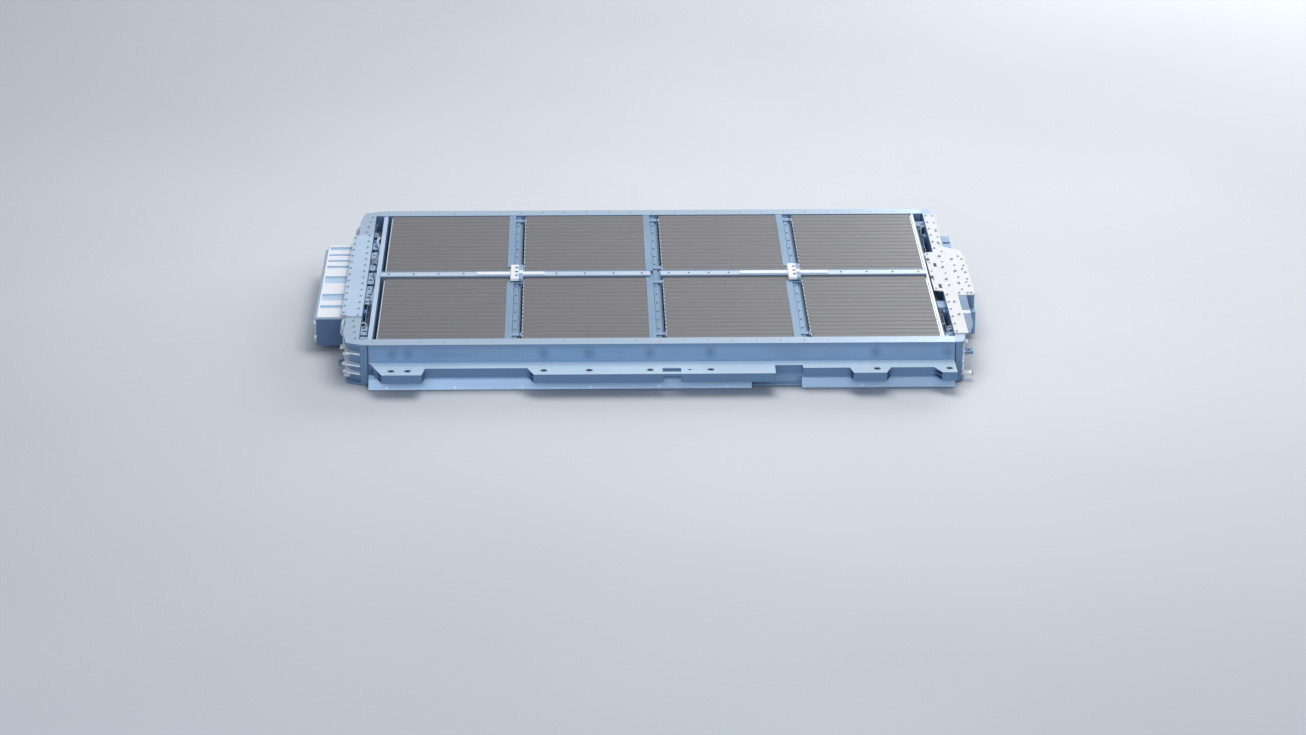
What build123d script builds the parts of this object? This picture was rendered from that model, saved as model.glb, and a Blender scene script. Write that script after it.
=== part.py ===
"""Open underfloor traction battery for an electric car, with its lid off.

An aluminium tray of hollow side sills, end beams, cross beams and a centre beam holds eight
stacks of long prismatic cells. +X runs along the car towards the nose, +Y to its left and +Z up.
The origin is the centre of the tray's underside. Lengths are in millimetres.
"""

import os

from build123d import *

os.makedirs("parts", exist_ok=True)

# --- Cells -----------------------------------------------------------------------------------
CELL_LENGTH = 411.0
CELL_THICKNESS = 35.9
CELL_GAP = 0.6  # insulating film between two cells
CELL_HEIGHT = 120.0
CELL_EDGE = 2.4  # bevel along a cell's two upper edges
CELLS_PER_STACK = 16
STACKS_LONG = 4
CELL_PITCH = CELL_THICKNESS + CELL_GAP
STACK_WIDTH = CELLS_PER_STACK * CELL_PITCH - CELL_GAP

# --- Contact strips on the ends of each stack ----------------------------------------------
CARRIER_THICKNESS = 2.6
TAB_THICKNESS = 1.6
TAB_GAP = 5.0  # between two neighbouring busbar tabs
TAB_CELLS = 4  # cells joined by one tab: two pairs in parallel, the pairs in series
STRIP_RECESS = 3.0  # from the cells' upper and lower faces

# --- Links between two stacks in a row ------------------------------------------------------
LINK_WIDTH = 26.0
LINK_THICKNESS = 2.0
LINK_Y = [70.0, 563.0]
LINK_DROP = 40.0  # legs reach this far below the cells' tops

# --- Layers from the ground up ----------------------------------------------------------------
GUARD_THICKNESS = 3.0
FLOOR_THICKNESS = 12.0
PAD_THICKNESS = 1.0
LID_SEAT_RISE = 2.0  # lid seat above the cells
FLOOR_TOP = GUARD_THICKNESS + FLOOR_THICKNESS
CELL_BASE = FLOOR_TOP + PAD_THICKNESS
CELL_TOP = CELL_BASE + CELL_HEIGHT
TRAY_TOP = CELL_TOP + LID_SEAT_RISE

# --- Beams between the stacks -------------------------------------------------------------------
CHANNEL = 52.0  # between two stacks along X
CROSS_BEAM_WIDTH = 34.0
CROSS_BEAM_DROP = 4.0  # its top below the cells' tops
GROOVE_LIP = 3.0  # beside each of the two grooves in its top
GROOVE_WIDTH = 7.0
GROOVE_DEPTH = 4.0
LINK_CLEARANCE = 0.8
CENTRE_GAP = 50.0  # between the two rows of stacks
CENTRE_WEB = 30.0
STRAP_OVERLAP = 3.0  # of the hold-down strap over the cells
STRAP_THICKNESS = 4.0
STRAP_CLEARANCE = 0.3
BEAM_WALL = 3.0
CROSS_BEAM_TOP = CELL_TOP - CROSS_BEAM_DROP
STRAP_TOP = CELL_TOP + STRAP_CLEARANCE + STRAP_THICKNESS
LINK_TOP = CROSS_BEAM_TOP + LINK_CLEARANCE + LINK_THICKNESS
FIELD_LENGTH = STACKS_LONG * CELL_LENGTH + (STACKS_LONG - 1) * CHANNEL
FIELD_END = FIELD_LENGTH / 2
CROSS_BEAMS_X = [(i - (STACKS_LONG - 2) / 2) * (CELL_LENGTH + CHANNEL) for i in range(STACKS_LONG - 1)]

# --- Side sills ----------------------------------------------------------------------------------
SIDE_CLEARANCE = 3.0  # between the cells and a sill
SILL_UPPER_WIDTH = 53.0
FLANGE_REACH = 106.0  # of the mounting flange beyond the upper wall
FLANGE_TOP = 76.0
FLANGE_THICKNESS = 29.0
LIP_TOP_REACH = 26.0  # the slanted lip starts here, beyond the upper wall
LIP_FOOT_REACH = 47.0
SILL_WALL = 3.5
FLANGE_WEBS = [35.0, 48.0, 60.0]  # outer faces of the upright webs, from the upper wall
LID_SEAT_THICKNESS = 6.0
TAIL_END_CUT = 46.0  # slanted end of the flange at the tail
SILL_IN = CENTRE_GAP / 2 + STACK_WIDTH + SIDE_CLEARANCE
SILL_OUT = SILL_IN + SILL_UPPER_WIDTH
FLANGE_OUT = SILL_OUT + FLANGE_REACH
FLANGE_BOTTOM = FLANGE_TOP - FLANGE_THICKNESS

# --- Ends of the tray ----------------------------------------------------------------------------
NOSE_PLATE_GAP = 0.3
NOSE_PLATE_THICKNESS = 7.5
TAIL_PLATE_GAP = 13.0
TAIL_PLATE_THICKNESS = 14.0
NOSE_BAY = 34.0
TAIL_BAY = 28.0
NOSE_BEAM_WIDTH = 38.0
TAIL_BEAM_WIDTH = 51.0
END_BEAM_HALF = 500.0  # half the length of both end beams, up to the corner castings
END_WALL = 4.0
STRIP_DEPTH = CARRIER_THICKNESS + TAB_THICKNESS
NOSE_PLATE_X = FIELD_END + STRIP_DEPTH + NOSE_PLATE_GAP
TAIL_PLATE_X = -(FIELD_END + STRIP_DEPTH + TAIL_PLATE_GAP)
NOSE_BAY_X = NOSE_PLATE_X + NOSE_PLATE_THICKNESS
TAIL_BAY_X = TAIL_PLATE_X - TAIL_PLATE_THICKNESS
NOSE_BEAM_X = NOSE_BAY_X + NOSE_BAY
TAIL_BEAM_X = TAIL_BAY_X - TAIL_BAY
NOSE_OUT = NOSE_BEAM_X + NOSE_BEAM_WIDTH
TAIL_OUT = TAIL_BEAM_X - TAIL_BEAM_WIDTH
SILL_NOSE_GAP = 6.0  # from the sills' nose end to the nose beam
SILL_TAIL_GAP = 33.2
SILL_NOSE_END = NOSE_BEAM_X - SILL_NOSE_GAP
SILL_TAIL_END = TAIL_BEAM_X + SILL_TAIL_GAP

# --- Mounting holes in the sill flanges ------------------------------------------------------
TAIL_CROSS, NOSE_CROSS = CROSS_BEAMS_X[0], CROSS_BEAMS_X[-1]
MOUNT_X = [SILL_TAIL_END + 74.0, SILL_TAIL_END + 126.0]
MOUNT_X += [TAIL_CROSS + 94.0, TAIL_CROSS + 238.0, -32.0, 160.0]
MOUNT_X += [SILL_NOSE_END - 252.0, SILL_NOSE_END - 22.0]
MOUNT_EDGE = 35.0  # from the flange's outer edge to the hole's centre
MOUNT_Y = FLANGE_OUT - MOUNT_EDGE
SLEEVE_RADIUS = 12.5  # across the corners of the six-sided sleeve
SLEEVE_BORE = 6.5
SLEEVE_FIT = 0.05

# --- Pockets milled back to a web of the flange: tail side, nose side, web, run-out ----------
POCKETS = [
    (TAIL_CROSS - 292.0, TAIL_CROSS + 63.0, FLANGE_WEBS[1], (10.0, 22.0)),
    (NOSE_CROSS - 9.0, NOSE_CROSS + 149.0, FLANGE_WEBS[2], (0.0, 10.0)),
    (SILL_NOSE_END - 224.0, SILL_NOSE_END - 46.0, FLANGE_WEBS[2], (17.0, 25.0)),
]
JACK_NOTCH = (NOSE_CROSS - 98.0, NOSE_CROSS - 9.0)
JACK_NOTCH_WEB = FLANGE_WEBS[0]
LIP_GAP = (NOSE_CROSS - 171.0, NOSE_CROSS - 11.0)
LIP_GAP_DEPTH = 21.0  # the lip is cut back this far from its foot
CABLE_SLOT = (10.0, 66.0)
CABLE_SLOT_WIDTH = 12.0
CABLE_NOTCH_HEIGHT = 20.0
DRAIN_HOLE_X = 94.0
DRAIN_HOLE_RADIUS = 6.0  # across the corners of the six-sided hole

# --- Corner castings -----------------------------------------------------------------------------
CORNER_CUT = 34.0  # how far the chamfered corner comes in from the sill's wall
CORNER_POST = 26.0
CORNER_RIB_DEPTH = 20.0
CORNER_RIB = 5.0
CORNER_RIBS_Z = [34.5, 61.5, 101.5]
NOSE_LUG_LENGTH = 28.0
TAIL_LUG_LENGTH = 19.0
LUG_WIDTH = 46.0
LUG_THICKNESS = 9.0
LUG_BORE = 5.5
NOSE_LUG_Z = 52.0
TAIL_LUG_Z = 24.0

# --- Centre mounts on the first and last cross beams -----------------------------------------
CENTRE_HUB = (44.0, 146.0)
CENTRE_FOOT = 100.0  # of the hub, where it stands on the cross beam
CENTRE_ARMS = [(TAIL_CROSS - 133.0, TAIL_CROSS + 94.0), (NOSE_CROSS - 181.0, NOSE_CROSS + 113.0)]  # tail end and nose end of each white arm
CENTRE_ARM_WIDTH = 26.0
CENTRE_HUB_RISE = 7.0
CENTRE_ARM_THICKNESS = 2.5
CENTRE_SLEEVE_RADIUS = 9.0
CENTRE_SLEEVE_BORE = 5.5

# --- Service box outside the tail beam -----------------------------------------------------------
BOX_HALF = 355.0
BOX_TOP = 115.0
BOX_BASE = 21.0
BOX_REACH = 101.0
BOX_WALL = 4.0
BOX_LID_THICKNESS = 3.0
CONTACTOR_START = 75.0  # from the box's end at -Y to the first contactor's middle
CONTACTOR_PITCH = 90.0
FUSE_LENGTH = 100.0
FUSE_START = 335.0  # these three from the box's end at +Y
RELAY_START = 205.0
UNIT_START = 115.0
FIN_HEIGHT = 5.0
FIN_INSET = 8.0
FIN_GROOVES = [(-271, -242), (-197, -132), (-28, 41), (121, 146), (185, 205), (245, 265), (304, 338)]
TAIL_COVER_HALF = BOX_HALF + 30.0
TAIL_COVER_OVERHANG = 16.0
COVER_THICKNESS = 3.0

# --- Side plate of the service box, and cable ducts --------------------------------------
SIDE_PLATE = 9.0
SIDE_PLATE_INSET = 12.0
DUCT_WIDTH = 20.0
DUCT_HEIGHT = 18.0
DUCT_WALL = 2.0
DUCT_BASE = 92.0
TAIL_DUCT_GAP = 91.0  # from the duct's end to the sill
NOSE_DUCT_GAP = 51.0

# --- Junction box on the nose beam -----------------------------------------------------------
NOSE_BOX_Y = (-225.0, 205.0)
NOSE_BOX_REACH = 63.0
NOSE_BOX_BASE = 18.0
NOSE_STEP = 48.0
NOSE_STEP_TOP = 94.0
NICHE_DEPTH = 30.0  # the connectors stand back in a niche
NICHE_Y = (-185.0, 170.0)
NICHE_Z = (62.0, 128.0)
CONNECTOR_FLANGE = 5.0
HV_CONNECTOR = (78.0, 44.0)
HV_CONNECTOR_REACH = 24.0
LV_CONNECTOR = (56.0, 30.0)
LV_CONNECTOR_REACH = 20.0
SHELL_WALL = 3.0
HEADER_Y = (262.0, 400.0)
HEADER_REACH = 34.0
HEADER_HEIGHT = 46.0
PORT_RADIUS = 10.0
PORT_BORE = 7.5
PORT_LENGTH = 30.0
PORTS_Y = (BOX_HALF + 37.0, BOX_HALF + 73.0)
PORT_Z = 50.0
VALVE_Y = BOX_HALF + 107.0
VALVE_Z = 72.0


def keep(piece, name):
    """Labels a finished piece and writes it as one STEP file."""
    piece.part.label = name
    export_step(piece.part, f"parts/{name}.step")


def ring(points, side=1):
    """A closed face through the points, mirrored to the other side of the first axis by side=-1."""
    Polygon(*[(side * u, v) for u, v in points], align=None)


def block(low, high, mode=Mode.ADD):
    """A box between two corners."""
    size = [b - a for a, b in zip(low, high)]
    centre = [(a + b) / 2 for a, b in zip(low, high)]
    with Locations(tuple(centre)):
        Box(*size, mode=mode)


# === Underside and floor =======================================================================
GUARD_HALF = SILL_OUT + LIP_FOOT_REACH - LIP_GAP_DEPTH - 2.0

with BuildPart() as bottom_guard:
    with BuildSketch():
        ring(
            [
                (TAIL_OUT + 2, -END_BEAM_HALF),
                (SILL_TAIL_END, -GUARD_HALF),
                (SILL_NOSE_END, -GUARD_HALF),
                (NOSE_OUT - 2, -END_BEAM_HALF),
                (NOSE_OUT - 2, END_BEAM_HALF),
                (SILL_NOSE_END, GUARD_HALF),
                (SILL_TAIL_END, GUARD_HALF),
                (TAIL_OUT + 2, END_BEAM_HALF),
            ]
        )
        with Locations((CROSS_BEAMS_X[0], 0), (CROSS_BEAMS_X[-1], 0)):
            RegularPolygon(CENTRE_SLEEVE_RADIUS + SLEEVE_FIT, 6, mode=Mode.SUBTRACT)
    extrude(amount=GUARD_THICKNESS)
keep(bottom_guard, "bottom_guard")

with BuildPart() as floor_plate:
    with BuildSketch(Plane.XY.offset(GUARD_THICKNESS)):
        ring(
            [
                (TAIL_BEAM_X, -SILL_IN),
                (NOSE_BEAM_X, -SILL_IN),
                (NOSE_BEAM_X, SILL_IN),
                (TAIL_BEAM_X, SILL_IN),
            ]
        )
        with Locations((CROSS_BEAMS_X[0], 0), (CROSS_BEAMS_X[-1], 0)):
            RegularPolygon(CENTRE_SLEEVE_RADIUS + SLEEVE_FIT, 6, mode=Mode.SUBTRACT)
    extrude(amount=FLOOR_THICKNESS)
keep(floor_plate, "floor_plate")


# === Side sills: hollow extrusions with a milled mounting flange =================================
def sill_section(side):
    """The outline and chambers of a sill on the YZ plane."""
    lip_top = SILL_OUT + LIP_TOP_REACH
    lip_foot = SILL_OUT + LIP_FOOT_REACH
    ring(
        [
            (SILL_IN, GUARD_THICKNESS),
            (SILL_IN, TRAY_TOP),
            (SILL_OUT, TRAY_TOP),
            (SILL_OUT, FLANGE_TOP),
            (FLANGE_OUT, FLANGE_TOP),
            (FLANGE_OUT, FLANGE_BOTTOM),
            (lip_top, FLANGE_BOTTOM),
            (lip_foot, GUARD_THICKNESS),
        ],
        side,
    )
    inner = SILL_IN + SILL_WALL
    outer = SILL_OUT - SILL_WALL
    chamber_height = (FLANGE_THICKNESS - 3 * SILL_WALL) / 2
    foot = GUARD_THICKNESS + SILL_WALL
    chambers = [
        (inner, outer, FLANGE_TOP, TRAY_TOP - LID_SEAT_THICKNESS),
        (inner, outer, FLANGE_BOTTOM, FLANGE_TOP - SILL_WALL),
        (inner, outer, foot, FLANGE_BOTTOM - SILL_WALL),
    ]
    # The flange has single chambers up to its last web and two stacked ones beyond it.
    low_z = FLANGE_BOTTOM + SILL_WALL
    high_z = FLANGE_TOP - SILL_WALL
    start = 0.0
    for web in FLANGE_WEBS:
        chambers.append((SILL_OUT + start, SILL_OUT + web - SILL_WALL, low_z, high_z))
        start = web
    chambers.append((SILL_OUT + start, FLANGE_OUT - SILL_WALL, low_z, low_z + chamber_height))
    chambers.append((SILL_OUT + start, FLANGE_OUT - SILL_WALL, high_z - chamber_height, high_z))
    with BuildSketch(Plane.YZ, mode=Mode.PRIVATE) as hollow:
        for low_y, high_y, low_z, high_z in chambers:
            ring([(low_y, low_z), (high_y, low_z), (high_y, high_z), (low_y, high_z)], side)
        ring(
            [
                (SILL_OUT, foot),
                (lip_foot - 2 * SILL_WALL, foot),
                (lip_top - SILL_WALL, FLANGE_BOTTOM - SILL_WALL),
                (SILL_OUT, FLANGE_BOTTOM - SILL_WALL),
            ],
            side,
        )
    return hollow.sketch_local


def sill(side, name):
    """One sill, at +Y for side 1 and at -Y for side -1."""
    through = FLANGE_THICKNESS + 2
    lip_foot = SILL_OUT + LIP_FOOT_REACH
    with BuildPart() as piece:
        with BuildSketch(Plane.YZ.offset(SILL_TAIL_END)):
            hollow = sill_section(side)
            add(hollow, mode=Mode.SUBTRACT)
        extrude(amount=SILL_NOSE_END - SILL_TAIL_END)
        # Pockets milled into the flange, with slanted sides, and its slanted tail end.
        with BuildSketch(Plane.XY.offset(FLANGE_BOTTOM - 1)):
            for tail_x, nose_x, web, (tail_run, nose_run) in POCKETS:
                deep = side * (SILL_OUT + web)
                open_edge = side * (FLANGE_OUT + 1)
                ring(
                    [
                        (tail_x, open_edge),
                        (tail_x + tail_run, deep),
                        (nose_x - nose_run, deep),
                        (nose_x, open_edge),
                    ]
                )
            notch = side * (SILL_OUT + JACK_NOTCH_WEB)
            edge = side * (FLANGE_OUT + 1)
            ring([(JACK_NOTCH[0], edge), (JACK_NOTCH[0], notch), (JACK_NOTCH[1], notch), (JACK_NOTCH[1], edge)])
            ring(
                [
                    (SILL_TAIL_END - 1, edge),
                    (SILL_TAIL_END - 1, side * (SILL_OUT + 4)),
                    (SILL_TAIL_END + 4, side * (SILL_OUT + 4)),
                    (SILL_TAIL_END + TAIL_END_CUT, edge),
                ]
            )
            with Locations(*[(x, side * MOUNT_Y) for x in MOUNT_X]):
                RegularPolygon(SLEEVE_RADIUS + SLEEVE_FIT, 6)
        extrude(amount=through, mode=Mode.SUBTRACT)
        # Cable slot and drain hole through the flange's top, and the notch under the slot.
        with BuildSketch(Plane.XY.offset(FLANGE_TOP - SILL_WALL - 1)):
            with Locations(((CABLE_SLOT[0] + CABLE_SLOT[1]) / 2, side * MOUNT_Y)):
                Rectangle(CABLE_SLOT[1] - CABLE_SLOT[0], CABLE_SLOT_WIDTH)
            with Locations((DRAIN_HOLE_X, side * MOUNT_Y)):
                RegularPolygon(DRAIN_HOLE_RADIUS, 6)
        extrude(amount=SILL_WALL + 2, mode=Mode.SUBTRACT)
        slot_edge = sorted([side * (MOUNT_Y - CABLE_SLOT_WIDTH / 2), side * (FLANGE_OUT + 1)])
        block(
            (CABLE_SLOT[0], slot_edge[0], FLANGE_BOTTOM - 1),
            (CABLE_SLOT[1], slot_edge[1], FLANGE_BOTTOM + CABLE_NOTCH_HEIGHT),
            mode=Mode.SUBTRACT,
        )
        # The lip is cut back to an upright wall at the jacking point.
        gap_edge = sorted([side * (lip_foot - LIP_GAP_DEPTH), side * (lip_foot + 1)])
        block(
            (LIP_GAP[0], gap_edge[0], GUARD_THICKNESS - 1),
            (LIP_GAP[1], gap_edge[1], FLANGE_BOTTOM),
            mode=Mode.SUBTRACT,
        )
    keep(piece, name)


sill(-1, "right_sill")
sill(1, "left_sill")


# === Cross beams and centre beam ==================================================================
for number, beam_x in enumerate(CROSS_BEAMS_X, start=1):
    with BuildPart() as cross_beam:
        with BuildSketch(Plane.XZ.offset(-SILL_IN)):
            half = CROSS_BEAM_WIDTH / 2
            ring([(beam_x - half, FLOOR_TOP), (beam_x + half, FLOOR_TOP), (beam_x + half, CROSS_BEAM_TOP),
                  (beam_x - half, CROSS_BEAM_TOP)])
            chamber = (CROSS_BEAM_TOP - GROOVE_DEPTH - FLOOR_TOP - 3 * BEAM_WALL) / 2
            for low_z in (FLOOR_TOP + BEAM_WALL, FLOOR_TOP + 2 * BEAM_WALL + chamber):
                with Locations((beam_x, low_z + chamber / 2)):
                    Rectangle(CROSS_BEAM_WIDTH - 2 * BEAM_WALL, chamber, mode=Mode.SUBTRACT)
            for side in (-1, 1):
                groove_x = beam_x + side * (CROSS_BEAM_WIDTH / 2 - GROOVE_LIP - GROOVE_WIDTH / 2)
                with Locations((groove_x, CROSS_BEAM_TOP - GROOVE_DEPTH / 2)):
                    Rectangle(GROOVE_WIDTH, GROOVE_DEPTH, mode=Mode.SUBTRACT)
        extrude(amount=2 * SILL_IN)
        if beam_x in (CROSS_BEAMS_X[0], CROSS_BEAMS_X[-1]):
            with BuildSketch(Plane.XY.offset(FLOOR_TOP)):
                with Locations((beam_x, 0)):
                    RegularPolygon(CENTRE_SLEEVE_RADIUS + SLEEVE_FIT, 6)
            extrude(amount=CROSS_BEAM_TOP - FLOOR_TOP, mode=Mode.SUBTRACT)
    keep(cross_beam, f"cross_beam_{number}")

beam_faces = [TAIL_PLATE_X]
for beam_x in CROSS_BEAMS_X:
    beam_faces += [beam_x - CROSS_BEAM_WIDTH / 2, beam_x + CROSS_BEAM_WIDTH / 2]
beam_faces.append(NOSE_PLATE_X)
for number in range(1, STACKS_LONG + 1):
    start_x, end_x = beam_faces[2 * number - 2 : 2 * number]
    with BuildPart() as centre_beam:
        with BuildSketch(Plane.YZ.offset(start_x)):
            web = CENTRE_WEB / 2
            strap = CENTRE_GAP / 2 + STRAP_OVERLAP
            strap_base = STRAP_TOP - STRAP_THICKNESS
            ring(
                [
                    (-web, FLOOR_TOP),
                    (web, FLOOR_TOP),
                    (web, strap_base),
                    (strap, strap_base),
                    (strap, STRAP_TOP),
                    (-strap, STRAP_TOP),
                    (-strap, strap_base),
                    (-web, strap_base),
                ]
            )
            with Locations((0, (FLOOR_TOP + strap_base) / 2)):
                Rectangle(CENTRE_WEB - 2 * BEAM_WALL, strap_base - FLOOR_TOP - 2 * BEAM_WALL, mode=Mode.SUBTRACT)
        extrude(amount=end_x - start_x)
    keep(centre_beam, f"centre_beam_{number}")


# === Cell stacks, thermal pads and contact strips ================================================
def cell_outline():
    """End view of one cell, centred on its own middle line and standing on its base."""
    half = CELL_THICKNESS / 2
    return [
        (-half, CELL_BASE),
        (half, CELL_BASE),
        (half, CELL_TOP - CELL_EDGE),
        (half - CELL_EDGE, CELL_TOP),
        (CELL_EDGE - half, CELL_TOP),
        (-half, CELL_TOP - CELL_EDGE),
    ]


def strip_middles(tail_face, offset):
    """X of a strip outside the tail end and outside the nose end of a stack."""
    return tail_face - offset, tail_face + CELL_LENGTH + offset


stack_places = []
for column in range(STACKS_LONG):
    tail_face = -FIELD_END + column * (CELL_LENGTH + CHANNEL)
    for side in (-1, 1):
        stack_places.append((tail_face, side * (CENTRE_GAP + STACK_WIDTH) / 2))

for number, (tail_face, row_y) in enumerate(stack_places, start=1):
    with BuildPart() as cell_stack:
        with BuildSketch(Plane.YZ.offset(tail_face)):
            with Locations((row_y, 0)):
                with GridLocations(CELL_PITCH, 0, CELLS_PER_STACK, 1):
                    ring(cell_outline())
        extrude(amount=CELL_LENGTH)
    keep(cell_stack, f"cell_stack_{number}")

    # A moulded carrier covers the terminals at each end of the stack.
    with BuildPart() as contact_strips:
        with BuildSketch(Plane.XY.offset(CELL_BASE + STRIP_RECESS)):
            for middle_x in strip_middles(tail_face, CARRIER_THICKNESS / 2):
                with Locations((middle_x, row_y)):
                    Rectangle(CARRIER_THICKNESS, STACK_WIDTH)
        extrude(amount=CELL_HEIGHT - 2 * STRIP_RECESS)
    keep(contact_strips, f"contact_strips_{number}")

# Busbar tabs on the carriers; those at the nose end are shifted by half a tab.
TAB_PITCH = TAB_CELLS * CELL_PITCH
TABS = CELLS_PER_STACK // TAB_CELLS
with BuildPart() as cell_busbars:
    with BuildSketch(Plane.XY.offset(CELL_BASE + STRIP_RECESS)):
        for tail_face, row_y in stack_places:
            tail_tab, nose_tab = strip_middles(tail_face, CARRIER_THICKNESS + TAB_THICKNESS / 2)
            with Locations((tail_tab, row_y)):
                with GridLocations(0, TAB_PITCH, 1, TABS):
                    Rectangle(TAB_THICKNESS, TAB_PITCH - TAB_GAP)
            with Locations((nose_tab, row_y)):
                with GridLocations(0, TAB_PITCH, 1, TABS - 1):
                    Rectangle(TAB_THICKNESS, TAB_PITCH - TAB_GAP)
            end_y = (STACK_WIDTH - TAB_PITCH / 2) / 2
            with Locations((nose_tab, row_y - end_y), (nose_tab, row_y + end_y)):
                Rectangle(TAB_THICKNESS, TAB_PITCH / 2 - TAB_GAP)
    extrude(amount=CELL_HEIGHT - 2 * STRIP_RECESS)
keep(cell_busbars, "cell_busbars")

# Links carry the current over each cross beam from one stack to the next.
with BuildPart() as stack_links:
    for beam_x in CROSS_BEAMS_X:
        reach = CHANNEL / 2 - STRIP_DEPTH
        link_base = CELL_TOP - LINK_DROP
        for link_y in LINK_Y:
            for side in (-1, 1):
                low_y = side * link_y - LINK_WIDTH / 2
                high_y = side * link_y + LINK_WIDTH / 2
                block(
                    (beam_x - reach, low_y, LINK_TOP - LINK_THICKNESS),
                    (beam_x + reach, high_y, LINK_TOP),
                )
                for low_x in (beam_x - reach, beam_x + reach - LINK_THICKNESS):
                    block((low_x, low_y, link_base), (low_x + LINK_THICKNESS, high_y, LINK_TOP))
keep(stack_links, "stack_links")

with BuildPart() as thermal_pads:
    with BuildSketch(Plane.XY.offset(FLOOR_TOP)):
        for tail_face, row_y in stack_places:
            with Locations((tail_face + CELL_LENGTH / 2, row_y)):
                Rectangle(CELL_LENGTH, STACK_WIDTH)
    extrude(amount=PAD_THICKNESS)
keep(thermal_pads, "thermal_pads")

# === End plates and end beams ====================================================================
for name, low_x, high_x in (
    ("nose_end_plate", NOSE_PLATE_X, NOSE_BAY_X),
    ("tail_end_plate", TAIL_BAY_X, TAIL_PLATE_X),
):
    with BuildPart() as end_plate:
        block((low_x, -SILL_IN, FLOOR_TOP), (high_x, SILL_IN, CELL_TOP))
    keep(end_plate, name)


def end_beam(inner_x, outer_x, name):
    """A hollow beam across an end of the tray, between its two corner castings."""
    low_x, high_x = sorted((inner_x, outer_x))
    middle = (low_x + high_x) / 2
    width = high_x - low_x
    inside = TRAY_TOP - LID_SEAT_THICKNESS - GUARD_THICKNESS - 3 * END_WALL
    chamber = inside / 2
    with BuildPart() as piece:
        with BuildSketch(Plane.XZ.offset(-END_BEAM_HALF)):
            ring([(low_x, GUARD_THICKNESS), (high_x, GUARD_THICKNESS), (high_x, TRAY_TOP), (low_x, TRAY_TOP)])
            for low_z in (GUARD_THICKNESS + END_WALL, GUARD_THICKNESS + 2 * END_WALL + chamber):
                with Locations((middle, low_z + chamber / 2)):
                    Rectangle(width - 2 * END_WALL, chamber, mode=Mode.SUBTRACT)
        extrude(amount=2 * END_BEAM_HALF)
    keep(piece, name)


end_beam(NOSE_BEAM_X, NOSE_OUT, "nose_beam")
end_beam(TAIL_BEAM_X, TAIL_OUT, "tail_beam")


# === Corner castings: ribbed, with an upright post against the sill and a mounting lug ==========
def corner(end, side, name):
    """end is 1 at the nose and -1 at the tail; side is 1 at +Y and -1 at -Y."""
    sill_end = abs(SILL_NOSE_END if end > 0 else SILL_TAIL_END)
    beam_in = abs(NOSE_BEAM_X if end > 0 else TAIL_BEAM_X)
    beam_out = abs(NOSE_OUT if end > 0 else TAIL_OUT)
    lug_z = NOSE_LUG_Z if end > 0 else TAIL_LUG_Z
    lug_length = NOSE_LUG_LENGTH if end > 0 else TAIL_LUG_LENGTH
    post_end = sill_end + CORNER_POST
    shoulder = SILL_OUT - CORNER_CUT * (beam_out - sill_end) / (beam_out - sill_end + CORNER_CUT)
    knee_y = END_BEAM_HALF + 60.0
    outline = [
        (sill_end, SILL_IN),
        (sill_end, SILL_OUT),
        (post_end, SILL_OUT - 4.0),
        (beam_out - 12.0, shoulder),
        (beam_out, knee_y),
        (beam_out, END_BEAM_HALF),
        (beam_in, END_BEAM_HALF),
        (beam_in, SILL_IN),
    ]
    recess = CORNER_RIB_DEPTH
    core = [
        (sill_end, SILL_IN),
        (sill_end, SILL_OUT),
        (post_end, SILL_OUT - 4.0),
        (post_end, SILL_OUT - recess),
        (beam_out - 12.0 - recess * 0.5, shoulder - recess),
        (beam_out - recess, knee_y - recess * 0.5),
        (beam_out - recess, END_BEAM_HALF),
        (beam_in, END_BEAM_HALF),
        (beam_in, SILL_IN),
    ]

    def placed(points):
        return [(end * x, side * y) for x, y in points]

    with BuildPart() as piece:
        with BuildSketch(Plane.XY.offset(GUARD_THICKNESS)):
            ring(placed(core))
        extrude(amount=TRAY_TOP - GUARD_THICKNESS)
        for low_z, thickness in [(GUARD_THICKNESS, CORNER_RIB), (TRAY_TOP - 2 * CORNER_RIB, 2 * CORNER_RIB)] + [
            (z, CORNER_RIB) for z in CORNER_RIBS_Z
        ]:
            with BuildSketch(Plane.XY.offset(low_z)):
                ring(placed(outline))
            extrude(amount=thickness)
        # Mounting lug that sticks out beyond the end of the tray.
        lug_low = beam_out - recess
        lug_high = beam_out + lug_length
        lug_y = END_BEAM_HALF + LUG_WIDTH / 2 + 8.0
        with BuildSketch(Plane.XY.offset(lug_z)):
            ring(
                placed(
                    [
                        (lug_low, lug_y - LUG_WIDTH / 2),
                        (beam_out, lug_y - LUG_WIDTH / 2),
                        (lug_high, lug_y - LUG_WIDTH / 3),
                        (lug_high, lug_y + LUG_WIDTH / 3),
                        (beam_out, lug_y + LUG_WIDTH / 2),
                        (lug_low, lug_y + LUG_WIDTH / 2),
                    ]
                )
            )
            with Locations((end * (beam_out + lug_length / 2), side * lug_y)):
                Circle(LUG_BORE, mode=Mode.SUBTRACT)
        extrude(amount=LUG_THICKNESS)
    keep(piece, name)


corner(1, -1, "nose_right_corner")
corner(1, 1, "nose_left_corner")
corner(-1, -1, "tail_right_corner")
corner(-1, 1, "tail_left_corner")

# === Six-sided mounting sleeves in the flanges, with round bores =================================
with BuildPart() as mount_sleeves:
    with BuildSketch(Plane.XY.offset(FLANGE_BOTTOM)):
        with Locations(*[(x, y) for x in MOUNT_X for y in (-MOUNT_Y, MOUNT_Y)]):
            RegularPolygon(SLEEVE_RADIUS, 6)
            Circle(SLEEVE_BORE, mode=Mode.SUBTRACT)
    extrude(amount=FLANGE_THICKNESS)
keep(mount_sleeves, "mount_sleeves")

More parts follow.
